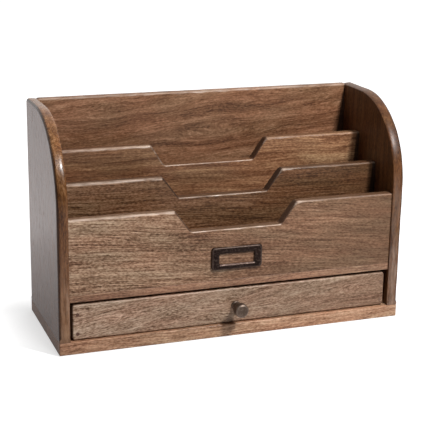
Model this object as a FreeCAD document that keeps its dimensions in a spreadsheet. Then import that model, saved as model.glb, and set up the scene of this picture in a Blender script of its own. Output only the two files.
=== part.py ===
import FreeCAD, Part
import Sketcher
import math
import os

# Desk letter holder in dark wood: three letter slots between notched boards that rise
# in steps, over one shallow drawer with a small round knob.
# The origin is the middle of the base's underside. X runs to the right, Y to the back
# and Z up. Lengths are in millimetres.

doc = FreeCAD.newDocument("letter_holder")

# Driving sizes
driving_sizes = {
    # carcass boards
    "width": 356,
    "depth": 130,
    "height": 224,
    "base_thick": 12.5,
    "side_wall": 11,
    "corner_radius": 84,
    "back_thick": 8.5,
    "shelf_thick": 7,
    "opening_height": 38.5,
    "front_recess": 3,
    # notched boards
    "divider_thick": 11,
    "front_panel_height": 74,
    "divider_step": 23.5,
    "notch_depth": 22,
    "notch_floor": 93,
    "notch_run": 16.3,
    "notch_round": 4,
    "divider_arris": 2.4,
    # joints and edges
    "dado_depth": 3,
    "glue_gap": 0.1,
    "arris": 2.8,
    "base_arris": 0.8,
    "shelf_arris": 0.5,
    # countersunk wood screws
    "screw_thick": 3.5,
    "screw_length": 32,
    "screw_point": 4,
    "screw_head": 7,
    "screw_head_tall": 2.2,
    "screw_sink": 0.3,
    "screw_inset": 18,
    "back_screw_spread": 110,
    "drive_long": 3.6,
    "drive_wide": 0.9,
    "drive_deep": 1.3,
    "hole_gap": 0.05,
    "hole_end": 0.5,
    # card frame and its pins
    "label_width": 52.5,
    "label_height": 22.7,
    "label_thick": 3,
    "label_lift": 11.5,
    "window_width": 36.5,
    "window_height": 10.8,
    "window_drop": 0.6,
    "label_round": 2.4,
    "window_round": 1.2,
    "label_edge": 1,
    "card_gap": 0.8,
    "card_lip": 2,
    "pin_thick": 1.6,
    "pin_length": 7,
    "pin_seat": 1.4,
    # drawer boards
    "drawer_recess": 3,
    "drawer_side_gap": 2.5,
    "drawer_top_gap": 2.8,
    "drawer_front_lift": 0.8,
    "drawer_run_gap": 0.3,
    "drawer_stop_gap": 0.3,
    "drawer_front_thick": 9.5,
    "drawer_wall": 8,
    "drawer_wall_inset": 1,
    "drawer_wall_drop": 6,
    "drawer_back_thick": 8,
    "drawer_bottom_thick": 3,
    "drawer_bottom_lift": 3,
    "drawer_groove": 3,
    "drawer_arris": 1.5,
    # brads
    "brad_thick": 1.3,
    "brad_head": 2.2,
    "brad_head_tall": 0.8,
    "brad_length": 22,
    "brad_edge": 6.4,
    "brad_sink": 0.2,
    # knob, its screw and washer
    "knob_length": 20,
    "knob_head": 13.6,
    "knob_head_tall": 7.4,
    "knob_neck": 5.6,
    "knob_foot": 9,
    "knob_foot_tall": 2.2,
    "knob_face_round": 1.6,
    "knob_small_round": 0.8,
    "knob_bore_deep": 10,
    "knob_screw_thick": 4,
    "knob_screw_reach": 8,
    "knob_screw_head": 7.6,
    "knob_screw_head_tall": 2.4,
    "washer_width": 10,
    "washer_thick": 0.8,
}

sheet = doc.addObject("Spreadsheet::Sheet", "Sizes")
for row, (alias, millimetres) in enumerate(driving_sizes.items(), 1):
    sheet.set(f"A{row}", alias)
    sheet.set(f"B{row}", str(millimetres))
    sheet.setAlias(f"B{row}", alias)
doc.recompute()


# Lengths that follow the sheet
class Size:
    """A length: its value now, and the sheet expression that it comes from."""

    def __init__(self, value, expression):
        self.value = value
        self.expression = expression

    def __add__(self, other):
        other = as_size(other)
        return Size(self.value + other.value, f"({self.expression} + {other.expression})")

    def __sub__(self, other):
        other = as_size(other)
        return Size(self.value - other.value, f"({self.expression} - {other.expression})")

    def __mul__(self, number):
        return Size(self.value * number, f"({self.expression} * {number})")

    def __truediv__(self, number):
        return Size(self.value / number, f"({self.expression} / {number})")

    def __neg__(self):
        return Size(-self.value, f"(0 - {self.expression})")


class SheetSizes:
    """The sheet's aliases as attributes."""

    def __init__(self):
        for alias in driving_sizes:
            setattr(self, alias, Size(float(sheet.get(alias)), f"Sizes.{alias}"))


def as_size(length):
    if isinstance(length, Size):
        return length
    return Size(float(length), str(length))


def smaller(one, other):
    return Size(min(one.value, other.value), f"min({one.expression}; {other.expression})")


def bind(thing, name, length):
    thing.setExpression(name, as_size(length).expression)


def bind_place(thing, x, y, z):
    bind(thing, "Placement.Base.x", x)
    bind(thing, "Placement.Base.y", y)
    bind(thing, "Placement.Base.z", z)


# Modelling steps that several pieces share
turn_to = {
    "+X": FreeCAD.Rotation(FreeCAD.Vector(0, 1, 0), 90),
    "-X": FreeCAD.Rotation(FreeCAD.Vector(0, 1, 0), -90),
    "+Y": FreeCAD.Rotation(FreeCAD.Vector(1, 0, 0), -90),
    "-Y": FreeCAD.Rotation(FreeCAD.Vector(1, 0, 0), 90),
    "+Z": FreeCAD.Rotation(),
}
pieces = []


def new_body(label, x, y, z):
    """Empty body for one piece, with its corner at a place in the object's frame."""
    body = doc.addObject("PartDesign::Body", label)
    body.Label = label
    bind_place(body, x, y, z)
    pieces.append(body)
    return body


def box_feature(body, kind, name, x, y, z, wide, deep, tall):
    feature = body.newObject(f"PartDesign::{kind}Box", name)
    bind(feature, "Length", wide)
    bind(feature, "Width", deep)
    bind(feature, "Height", tall)
    bind_place(feature, x, y, z)
    return feature


def cut_box(body, name, x, y, z, wide, deep, tall):
    return box_feature(body, "Subtractive", name, x, y, z, wide, deep, tall)


def board(label, x, y, z, wide, deep, tall):
    """Body that starts as a plain rectangular board."""
    body = new_body(label, x, y, z)
    blank = box_feature(body, "Additive", "Blank", 0, 0, 0, wide, deep, tall)
    return body, blank


def drill(body, name, direction, x, y, z, across, deep):
    """Round hole of a given width that starts at a point of the piece."""
    hole = body.newObject("PartDesign::SubtractiveCylinder", name)
    bind(hole, "Radius", across / 2)
    bind(hole, "Height", deep)
    hole.Placement = FreeCAD.Placement(FreeCAD.Vector(), turn_to[direction])
    bind_place(hole, x, y, z)
    return hole


def outline(body, name, role, corners, arcs=None):
    """Sketch through the corners; arcs gives centre and radius of the runs that are round."""
    sketch = body.newObject("Sketcher::SketchObject", name)
    planes = [part for part in body.Origin.OriginFeatures if part.Role == role]
    sketch.AttachmentSupport = (planes[0], "")
    sketch.MapMode = "FlatFace"
    corners = [(as_size(x), as_size(y)) for x, y in corners]
    points = [FreeCAD.Vector(x.value, y.value, 0) for x, y in corners]
    arcs = arcs or {}
    count = len(points)
    for run in range(count):
        start = points[run]
        end = points[(run + 1) % count]
        if run in arcs:
            centre_x, centre_y, radius = arcs[run]
            centre = FreeCAD.Vector(centre_x.value, centre_y.value, 0)
            circle = Part.Circle(centre, FreeCAD.Vector(0, 0, 1), radius.value)
            first = math.atan2(start.y - centre.y, start.x - centre.x)
            last = math.atan2(end.y - centre.y, end.x - centre.x)
            sketch.addGeometry(Part.ArcOfCircle(circle, first, last))
        else:
            sketch.addGeometry(Part.LineSegment(start, end))
    for run in range(count):
        sketch.addConstraint(Sketcher.Constraint("Coincident", run, 2, (run + 1) % count, 1))
    for run, (x, y) in enumerate(corners):
        for kind, length in (("DistanceX", x), ("DistanceY", y)):
            index = sketch.addConstraint(
                Sketcher.Constraint(kind, -1, 1, run, 1, length.value))
            bind(sketch, f"Constraints[{index}]", length)
    for run, (centre_x, centre_y, radius) in arcs.items():
        index = sketch.addConstraint(Sketcher.Constraint("Radius", run, radius.value))
        bind(sketch, f"Constraints[{index}]", radius)
    return sketch


def pad(body, sketch, length, reverse=False):
    feature = body.newObject("PartDesign::Pad", "Blank")
    feature.Profile = sketch
    feature.Reversed = reverse
    bind(feature, "Length", length)
    return feature


def turned(body, corners):
    """Solid of revolution round the body's Y axis from corners given as radius and height."""
    sketch = outline(body, "Profile", "XY_Plane", corners)
    feature = body.newObject("PartDesign::Revolution", "Turned")
    feature.Profile = sketch
    feature.ReferenceAxis = (sketch, ["V_Axis"])
    feature.Angle = 360
    return feature


def ease(body, base, name, radius, wanted):
    """Round the edges of a feature that the test picks out."""
    doc.recompute()
    edges = [f"Edge{number}" for number, edge in enumerate(base.Shape.Edges, 1) if wanted(edge)]
    rounding = body.newObject("PartDesign::Fillet", name)
    rounding.Base = (base, edges)
    bind(rounding, "Radius", radius)
    return rounding


def near(one, other):
    return abs(one - other) < 1e-4


def along_y(edge):
    box = edge.BoundBox
    return box.XLength < 1e-4 and box.ZLength < 1e-4


def is_circle(edge, radius, level):
    """Edge of a turned piece with this radius at this height along its Y axis."""
    if not hasattr(edge.Curve, "Radius"):
        return False
    return near(edge.Curve.Radius, radius.value) and near(edge.CenterOfMass.y, level.value)


def cylinder(name, direction, x, y, z, across, tall):
    solid = doc.addObject("Part::Cylinder", name)
    bind(solid, "Radius", across / 2)
    bind(solid, "Height", tall)
    solid.Placement = FreeCAD.Placement(FreeCAD.Vector(), turn_to[direction])
    bind_place(solid, x, y, z)
    return solid


def cone(name, x, y, z, across_low, across_high, tall):
    solid = doc.addObject("Part::Cone", name)
    bind(solid, "Radius1", across_low / 2)
    bind(solid, "Radius2", across_high / 2)
    bind(solid, "Height", tall)
    bind_place(solid, x, y, z)
    return solid


def joined(name, solids):
    union = doc.addObject("Part::MultiFuse", name)
    union.Shapes = solids
    return union


def group(label, solids):
    """One node of like pieces that stay separate solids."""
    compound = doc.addObject("Part::Compound", label)
    compound.Label = label
    compound.Links = solids
    pieces.append(compound)
    return compound


S = SheetSizes()

# Places that several pieces share
front_y = -S.depth / 2
left_x = -S.width / 2
right_x = S.width / 2 - S.side_wall
inner_width = S.width - S.side_wall * 2
panel_y = front_y + S.front_recess
back_y = S.depth / 2 - S.back_thick
shelf_z = S.base_thick + S.opening_height
slot_z = shelf_z + S.shelf_thick
slot_gap = (back_y - panel_y - S.divider_thick * 3) / 3
middle_y = panel_y + S.divider_thick + slot_gap
rear_y = middle_y + S.divider_thick + slot_gap
housed_width = inner_width + (S.dado_depth - S.glue_gap) * 2
housed_x = -housed_width / 2
panel_heights = [
    S.front_panel_height,
    S.front_panel_height + S.divider_step,
    S.front_panel_height + S.divider_step * 2,
]
panel_places = [panel_y, middle_y, rear_y]

screw_bore = S.screw_thick + S.hole_gap * 2
screw_top = S.screw_sink + S.screw_length
side_screw_places = [
    (side_x + S.side_wall / 2, place_y)
    for side_x in (left_x, right_x)
    for place_y in (front_y + S.screw_inset, as_size(0), -front_y - S.screw_inset)
]
back_screw_places = [
    (place_x, back_y + S.back_thick / 2)
    for place_x in (-S.back_screw_spread, S.back_screw_spread)
]


# Base board: carries the sides and the back, and the drawer runs on it
base, blank = board("base_board", left_x, front_y, 0, S.width, S.depth, S.base_thick)
ease(base, blank, "Arris", smaller(S.base_arris, S.base_thick * 0.4), lambda edge: True)
for place_x, place_y in side_screw_places + back_screw_places:
    hole_x = place_x - left_x
    hole_y = place_y - front_y
    drill(base, "ScrewHole", "+Z", hole_x, hole_y, 0, screw_bore, S.base_thick)
    drill(base, "ScrewSink", "+Z", hole_x, hole_y, 0, S.screw_head + S.hole_gap * 2, S.screw_sink)
    countersink = base.newObject("PartDesign::SubtractiveCone", "Countersink")
    bind(countersink, "Radius1", S.screw_head / 2 + S.hole_gap)
    bind(countersink, "Radius2", screw_bore / 2)
    bind(countersink, "Height", S.screw_head_tall)
    bind_place(countersink, hole_x, hole_y, S.screw_sink)


# Side panels: one board each, the upper front corner rounded, grooves for what they hold
side_height = S.height - S.base_thick
side_corners = [
    (0, 0),
    (S.depth, 0),
    (S.depth, side_height),
    (S.corner_radius, side_height),
    (0, side_height - S.corner_radius),
]
corner_arc = {3: (S.corner_radius, side_height - S.corner_radius, S.corner_radius)}
for label, place_x, groove_x in (
    ("left_side", left_x, S.side_wall - S.dado_depth),
    ("right_side", right_x, as_size(0)),
):
    side = new_body(label, place_x, front_y, S.base_thick)
    sketch = outline(side, "Outline", "YZ_Plane", side_corners, corner_arc)
    blank = pad(side, sketch, S.side_wall)
    ease(side, blank, "Arris", smaller(S.arris, S.side_wall * 0.4),
         lambda edge: edge.CenterOfMass.z > 1e-4 and edge.BoundBox.XLength < 1e-4)
    shelf_groove_deep = back_y - panel_y
    cut_box(side, "ShelfGroove", groove_x, S.front_recess, S.opening_height,
            S.dado_depth, shelf_groove_deep, S.shelf_thick + S.glue_gap)
    for place_y, tall in zip(panel_places, panel_heights):
        cut_box(side, "BoardGroove", groove_x, place_y - front_y - S.glue_gap,
                slot_z - S.base_thick, S.dado_depth, S.divider_thick + S.glue_gap * 2,
                tall + S.glue_gap)
    cut_box(side, "BackRebate", groove_x, back_y - front_y - S.glue_gap, 0,
            S.dado_depth, S.back_thick + S.glue_gap, side_height)
    for screw_x, screw_y in side_screw_places:
        if abs(screw_x.value - place_x.value) < S.side_wall.value:
            drill(side, "ScrewHole", "+Z", S.side_wall / 2, screw_y - front_y, 0,
                  screw_bore, screw_top - S.base_thick + S.hole_end)


# Back panel: full height between the sides, let into their rebates
back, blank = board("back_panel", housed_x, back_y, S.base_thick,
                    housed_width, S.back_thick, side_height)
ease(back, blank, "Arris", smaller(S.arris, S.back_thick * 0.4),
     lambda edge: near(edge.CenterOfMass.z, side_height.value) and edge.BoundBox.YLength < 1e-4)
for screw_x, screw_y in back_screw_places:
    drill(back, "ScrewHole", "+Z", screw_x - housed_x, S.back_thick / 2, 0,
          screw_bore, screw_top - S.base_thick + S.hole_end)


# Shelf over the drawer: floor of the letter slots
shelf, blank = board("drawer_shelf", housed_x, panel_y, shelf_z,
                     housed_width, back_y - panel_y - S.glue_gap, S.shelf_thick)
ease(shelf, blank, "Arris", smaller(S.shelf_arris, S.shelf_thick * 0.4),
     lambda edge: near(edge.CenterOfMass.y, 0) and edge.BoundBox.ZLength < 1e-4)


# Notched boards: the front panel and two dividers, each taller than the one before
label_z = S.label_lift + S.label_height / 2
pin_x = (S.label_width + S.window_width) / 4
half_floor = S.notch_floor / 2
half_mouth = half_floor + S.notch_run
for label, place_y, tall in zip(
    ("front_panel", "middle_divider", "rear_divider"), panel_places, panel_heights
):
    panel = new_body(label, housed_x, place_y, slot_z)
    middle = housed_width / 2
    low = tall - S.notch_depth
    sketch = outline(panel, "Outline", "XZ_Plane", [
        (0, 0),
        (housed_width, 0),
        (housed_width, tall),
        (middle + half_mouth, tall),
        (middle + half_floor, low),
        (middle - half_floor, low),
        (middle - half_mouth, tall),
        (0, tall),
    ])
    blank = pad(panel, sketch, S.divider_thick, reverse=True)
    inside = (0.5, housed_width.value - 0.5)
    softened = ease(panel, blank, "NotchCorners", S.notch_round,
                    lambda edge: along_y(edge) and inside[0] < edge.CenterOfMass.x < inside[1])
    ease(panel, softened, "Arris",
         smaller(smaller(S.divider_arris, S.notch_round * 0.6), S.divider_thick * 0.4),
         lambda edge: edge.BoundBox.YLength < 1e-4 and edge.BoundBox.ZMin > low.value - 1e-3)
    if label == "front_panel":
        for offset in (-pin_x, pin_x):
            drill(panel, "PinHole", "+Y", middle + offset, 0, label_z,
                  S.pin_thick + S.hole_gap * 2, S.pin_length - S.pin_seat + S.hole_end)


# Card frame: a cast metal frame with a window, hollow behind so a card slides in from above
frame = new_body("label_frame", -S.label_width / 2, panel_y - S.label_thick, slot_z + S.label_lift)
sketch = outline(frame, "Outline", "XZ_Plane", [
    (0, 0),
    (S.label_width, 0),
    (S.label_width, S.label_height),
    (0, S.label_height),
])
blank = pad(frame, sketch, S.label_thick, reverse=True)
window_x = (S.label_width - S.window_width) / 2
window_z = (S.label_height - S.window_height) / 2 - S.window_drop
softened = ease(frame, blank, "Corners", S.label_round, along_y)
window = cut_box(frame, "Window", window_x, 0, window_z,
                 S.window_width, S.label_thick, S.window_height)
doc.recompute()
window_right = window_x + S.window_width
inner = ease(frame, window, "WindowCorners", S.window_round,
             lambda edge: along_y(edge) and (near(edge.CenterOfMass.x, window_x.value)
                                             or near(edge.CenterOfMass.x, window_right.value)))
ease(frame, inner, "FrontEdges", smaller(S.label_edge, S.label_thick * 0.4),
     lambda edge: near(edge.BoundBox.YMax, 0))
cut_box(frame, "CardSlot", window_x - S.card_lip, S.label_thick - S.card_gap,
        window_z - S.card_lip, S.window_width + S.card_lip * 2, S.card_gap,
        S.label_height - window_z + S.card_lip)
pin_bore_deep = S.pin_seat + S.hole_gap
for offset in (-pin_x, pin_x):
    drill(frame, "PinHole", "+Y", S.label_width / 2 + offset, S.label_thick - pin_bore_deep,
          S.label_height / 2, S.pin_thick + S.hole_gap * 2, pin_bore_deep)

# Hidden pins: pressed into the back of the card frame and driven into the front panel
group("label_frame_pins", [
    cylinder(f"FramePin{number}", "+Y", offset, panel_y - S.pin_seat, slot_z + label_z,
             S.pin_thick, S.pin_length)
    for number, offset in enumerate((-pin_x, pin_x), 1)
])


# Countersunk wood screws, driven up through the base
def wood_screw(name, x, y):
    """Head cone, plain shank and point, with a cross recess in the head."""
    head_top = S.screw_sink + S.screw_head_tall
    shank_tall = S.screw_length - S.screw_head_tall - S.screw_point
    head = cone(f"{name}Head", x, y, S.screw_sink, S.screw_head, S.screw_thick, S.screw_head_tall)
    shank = cylinder(f"{name}Shank", "+Z", x, y, head_top, S.screw_thick, shank_tall)
    point = cone(f"{name}Point", x, y, head_top + shank_tall,
                 S.screw_thick, S.screw_thick / 10, S.screw_point)
    recess = []
    for wide, deep in ((S.drive_long, S.drive_wide), (S.drive_wide, S.drive_long)):
        slot = doc.addObject("Part::Box", f"{name}Slot")
        bind(slot, "Length", wide)
        bind(slot, "Width", deep)
        bind(slot, "Height", S.drive_deep)
        bind_place(slot, x - wide / 2, y - deep / 2, S.screw_sink)
        recess.append(slot)
    screw = doc.addObject("Part::Cut", name)
    screw.Base = joined(f"{name}Solid", [head, shank, point])
    screw.Tool = joined(f"{name}Recess", recess)
    return screw


group("side_screws", [wood_screw(f"SideScrew{number}", x, y)
                      for number, (x, y) in enumerate(side_screw_places, 1)])
group("back_screws", [wood_screw(f"BackScrew{number}", x, y)
                      for number, (x, y) in enumerate(back_screw_places, 1)])


# Drawer front: overlaps the ends of the drawer's sides
face_y = front_y + S.drawer_recess
face_z = S.base_thick + S.drawer_front_lift
face_width = inner_width - S.drawer_side_gap * 2
face_tall = S.opening_height - S.drawer_front_lift - S.drawer_top_gap
face_x = -face_width / 2
box_y = face_y + S.drawer_front_thick
box_end_y = back_y - S.drawer_stop_gap
box_length = box_end_y - box_y
wall_z = S.base_thick + S.drawer_run_gap
wall_tall = S.opening_height - S.drawer_run_gap - S.drawer_wall_drop
wall_left_x = face_x + S.drawer_wall_inset
wall_right_x = -wall_left_x - S.drawer_wall
box_inside = wall_right_x - wall_left_x - S.drawer_wall
bottom_z = wall_z + S.drawer_bottom_lift
bottom_width = box_inside + (S.drawer_groove - S.glue_gap) * 2
groove_tall = S.drawer_bottom_thick + S.glue_gap
brad_bore = S.brad_thick + S.hole_gap * 2
brad_head_bore = S.brad_head + S.hole_gap * 2
back_z = bottom_z + S.drawer_bottom_thick
brad_heights = [wall_z + S.brad_edge, wall_z + wall_tall - S.brad_edge]
back_brad_heights = [back_z + S.brad_edge, wall_z + wall_tall - S.brad_edge]
brad_columns = [wall_left_x + S.drawer_wall / 2, wall_right_x + S.drawer_wall / 2]
brad_end_y = box_end_y - S.drawer_back_thick / 2
knob_z = face_z + face_tall / 2
knob_bore = S.knob_screw_thick + S.hole_gap * 2

drawer_front, blank = board("drawer_front", face_x, face_y, face_z,
                            face_width, S.drawer_front_thick, face_tall)
ease(drawer_front, blank, "Arris", smaller(S.drawer_arris, S.drawer_front_thick * 0.4),
     lambda edge: near(edge.BoundBox.YMax, 0))
cut_box(drawer_front, "BottomGroove", -bottom_width / 2 - face_x - S.glue_gap,
        S.drawer_front_thick - S.drawer_groove, bottom_z - face_z,
        bottom_width + S.glue_gap * 2, S.drawer_groove, groove_tall)
for column in brad_columns:
    for level in brad_heights:
        drill(drawer_front, "BradHole", "+Y", column - face_x, 0, level - face_z,
              brad_bore, S.drawer_front_thick)
        drill(drawer_front, "BradHeadHole", "+Y", column - face_x, 0, level - face_z,
              brad_head_bore, S.brad_sink + S.brad_head_tall)
drill(drawer_front, "KnobHole", "+Y", face_width / 2, 0, knob_z - face_z,
      knob_bore, S.drawer_front_thick)


# Drawer sides: grooved inside for the bottom, bradded to the front and the back
for label, place_x, groove_x, outer_x, inward in (
    ("drawer_left_side", wall_left_x, S.drawer_wall - S.drawer_groove, as_size(0), "+X"),
    ("drawer_right_side", wall_right_x, as_size(0), S.drawer_wall, "-X"),
):
    wall, blank = board(label, place_x, box_y, wall_z, S.drawer_wall, box_length, wall_tall)
    ease(wall, blank, "Arris", smaller(S.drawer_arris, S.drawer_wall * 0.4),
         lambda edge: near(edge.CenterOfMass.z, wall_tall.value) and edge.BoundBox.XLength < 1e-4)
    cut_box(wall, "BottomGroove", groove_x, 0, S.drawer_bottom_lift,
            S.drawer_groove, box_length, groove_tall)
    for level in brad_heights:
        drill(wall, "FrontBradHole", "+Y", S.drawer_wall / 2, 0, level - wall_z, brad_bore,
              S.brad_sink + S.brad_length + S.hole_end - S.drawer_front_thick)
    for level in back_brad_heights:
        drill(wall, "BackBradHole", inward, outer_x, brad_end_y - box_y, level - wall_z,
              brad_bore, S.drawer_wall)
        drill(wall, "BackBradHeadHole", inward, outer_x, brad_end_y - box_y, level - wall_z,
              brad_head_bore, S.brad_sink + S.brad_head_tall)


# Drawer back: stands on the bottom between the sides
drawer_back, blank = board("drawer_back", -box_inside / 2, box_end_y - S.drawer_back_thick, back_z,
                           box_inside, S.drawer_back_thick,
                           wall_z + wall_tall - back_z)
ease(drawer_back, blank, "Arris", smaller(S.drawer_arris, S.drawer_back_thick * 0.4),
     lambda edge: near(edge.CenterOfMass.z, (wall_z + wall_tall - back_z).value)
     and edge.BoundBox.YLength < 1e-4)
brad_reach = S.brad_sink + S.brad_length + S.hole_end - S.drawer_wall
for level in back_brad_heights:
    for inward, start_x in (("+X", as_size(0)), ("-X", box_inside)):
        drill(drawer_back, "BradHole", inward, start_x, S.drawer_back_thick / 2, level - back_z,
              brad_bore, brad_reach)


# Drawer bottom: thin panel in the grooves of the front and the sides, under the back
bottom_y = box_y - S.drawer_groove + S.glue_gap
board("drawer_bottom", -bottom_width / 2, bottom_y, bottom_z,
      bottom_width, box_end_y - bottom_y, S.drawer_bottom_thick)


# Brads of the drawer
def brad(name, direction, x, y, z, step_x, step_y):
    """Nail along a direction; the steps say which way the shank follows the head."""
    head = cylinder(f"{name}Head", direction, x, y, z, S.brad_head, S.brad_head_tall)
    shank = cylinder(f"{name}Shank", direction,
                     x + S.brad_head_tall * step_x, y + S.brad_head_tall * step_y, z,
                     S.brad_thick, S.brad_length - S.brad_head_tall)
    return joined(name, [head, shank])


front_brads = []
back_brads = []
for column in brad_columns:
    for level in brad_heights:
        number = len(front_brads) + 1
        front_brads.append(brad(f"FrontBrad{number}", "+Y",
                                column, face_y + S.brad_sink, level, 0, 1))
for inward, start_x, step in (
    ("+X", wall_left_x + S.brad_sink, 1),
    ("-X", wall_right_x + S.drawer_wall - S.brad_sink, -1),
):
    for level in back_brad_heights:
        number = len(back_brads) + 1
        back_brads.append(brad(f"BackBrad{number}", inward, start_x, brad_end_y, level, step, 0))
group("drawer_front_brads", front_brads)
group("drawer_back_brads", back_brads)


# Knob: turned metal, foot against the drawer front, flat face with a rounded rim
half_turn = FreeCAD.Placement(FreeCAD.Vector(), FreeCAD.Rotation(FreeCAD.Vector(0, 0, 1), 180))
knob = new_body("drawer_knob", 0, face_y, knob_z)
knob.Placement = half_turn
bind_place(knob, 0, face_y, knob_z)
head_under = S.knob_length - S.knob_head_tall
blank = turned(knob, [
    (knob_bore / 2, 0),
    (S.knob_foot / 2, 0),
    (S.knob_foot / 2, S.knob_foot_tall),
    (S.knob_neck / 2, S.knob_foot_tall),
    (S.knob_neck / 2, head_under),
    (S.knob_head / 2, head_under),
    (S.knob_head / 2, S.knob_length),
    (0, S.knob_length),
    (0, S.knob_bore_deep),
    (knob_bore / 2, S.knob_bore_deep),
])
face_round = smaller(S.knob_face_round, S.knob_head_tall * 0.5)
faced = ease(knob, blank, "FaceRound", face_round,
             lambda edge: is_circle(edge, S.knob_head / 2, S.knob_length))
foot_ledge = (S.knob_foot - S.knob_neck) / 2
small_round = smaller(smaller(S.knob_small_round, S.knob_foot_tall * 0.45), foot_ledge * 0.48)
ease(knob, faced, "SmallRounds", small_round,
     lambda edge: is_circle(edge, S.knob_head / 2, head_under)
     or is_circle(edge, S.knob_neck / 2, head_under)
     or is_circle(edge, S.knob_neck / 2, S.knob_foot_tall)
     or is_circle(edge, S.knob_foot / 2, S.knob_foot_tall))

washer_y = box_y + S.washer_thick
washer = new_body("knob_washer", 0, washer_y, knob_z)
washer.Placement = half_turn
bind_place(washer, 0, washer_y, knob_z)
turned(washer, [
    (knob_bore / 2, 0),
    (S.washer_width / 2, 0),
    (S.washer_width / 2, S.washer_thick),
    (knob_bore / 2, S.washer_thick),
])

screw_y = washer_y + S.knob_screw_head_tall
screw_end = (S.knob_screw_head_tall + S.washer_thick + S.drawer_front_thick + S.knob_screw_reach)
knob_screw = new_body("knob_screw", 0, screw_y, knob_z)
knob_screw.Placement = half_turn
bind_place(knob_screw, 0, screw_y, knob_z)
blank = turned(knob_screw, [
    (0, 0),
    (S.knob_screw_head / 2, 0),
    (S.knob_screw_head / 2, S.knob_screw_head_tall),
    (S.knob_screw_thick / 2, S.knob_screw_head_tall),
    (S.knob_screw_thick / 2, screw_end),
    (0, screw_end),
])
ease(knob_screw, blank, "HeadRound", S.knob_screw_head_tall * 0.4,
     lambda edge: is_circle(edge, S.knob_screw_head / 2, as_size(0)))
for wide, tall in ((S.drive_long, S.drive_wide), (S.drive_wide, S.drive_long)):
    cut_box(knob_screw, "DriveSlot", -wide / 2, 0, -tall / 2, wide, S.drive_deep, tall)


# Check the document, then write one file for each piece
doc.recompute()
for thing in doc.Objects:
    if "Invalid" in thing.State or "Error" in thing.State:
        raise RuntimeError(f"{thing.Name} ({thing.Label}) failed: {thing.State}")

os.makedirs("parts", exist_ok=True)
for piece in pieces:
    shape = piece.Shape
    if shape.isNull() or not shape.isValid() or not shape.Solids:
        raise RuntimeError(f"{piece.Label} has no valid solid")
for piece in pieces:
    shape = piece.Shape
    box = shape.optimalBoundingBox(False)
    shape.exportStep(f"parts/{piece.Label}.step")
    print(f"{piece.Label}: {len(shape.Solids)} solids, {shape.Volume / 1000:.2f} cm3, "
          f"X {box.XMin:.2f}..{box.XMax:.2f} Y {box.YMin:.2f}..{box.YMax:.2f} "
          f"Z {box.ZMin:.2f}..{box.ZMax:.2f}")
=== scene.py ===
import math

import bpy
import numpy as np
from mathutils import Matrix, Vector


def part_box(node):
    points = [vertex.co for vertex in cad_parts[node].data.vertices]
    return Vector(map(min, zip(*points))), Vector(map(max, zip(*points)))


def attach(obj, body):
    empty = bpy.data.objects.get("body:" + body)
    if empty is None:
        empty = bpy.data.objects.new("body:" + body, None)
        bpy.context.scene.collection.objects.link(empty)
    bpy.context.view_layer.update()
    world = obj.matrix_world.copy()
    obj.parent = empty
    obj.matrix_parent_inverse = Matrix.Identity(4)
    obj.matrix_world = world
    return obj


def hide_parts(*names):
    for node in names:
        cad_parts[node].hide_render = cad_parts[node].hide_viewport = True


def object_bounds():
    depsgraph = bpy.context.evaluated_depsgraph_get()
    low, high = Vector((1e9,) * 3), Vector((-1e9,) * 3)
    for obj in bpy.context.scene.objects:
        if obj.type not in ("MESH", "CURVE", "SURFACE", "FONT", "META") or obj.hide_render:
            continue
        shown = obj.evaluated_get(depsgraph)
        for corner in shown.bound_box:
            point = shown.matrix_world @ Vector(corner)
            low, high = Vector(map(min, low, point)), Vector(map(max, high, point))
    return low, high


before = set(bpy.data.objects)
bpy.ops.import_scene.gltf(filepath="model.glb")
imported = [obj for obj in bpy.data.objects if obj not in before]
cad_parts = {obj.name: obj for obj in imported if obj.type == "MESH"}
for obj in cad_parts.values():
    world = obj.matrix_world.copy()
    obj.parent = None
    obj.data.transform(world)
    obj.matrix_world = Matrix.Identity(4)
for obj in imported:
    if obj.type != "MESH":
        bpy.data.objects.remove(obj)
cad_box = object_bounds()


# Base board
# A planed hardwood board as wide as the whole holder, stained brown and lacquered, its edges eased
# with sandpaper. Everything else stands on it and is screwed to it from below.

def stain(red, green, blue):
    """Linear colour of a finish given as it looks on a screen, each value from 0 to 255."""
    shown = np.array([red, green, blue]) / 255.0
    dim = shown / 12.92
    bright = ((shown + 0.055) / 1.055) ** 2.4
    return (*np.where(shown <= 0.04045, dim, bright).tolist(), 1.0)


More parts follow.
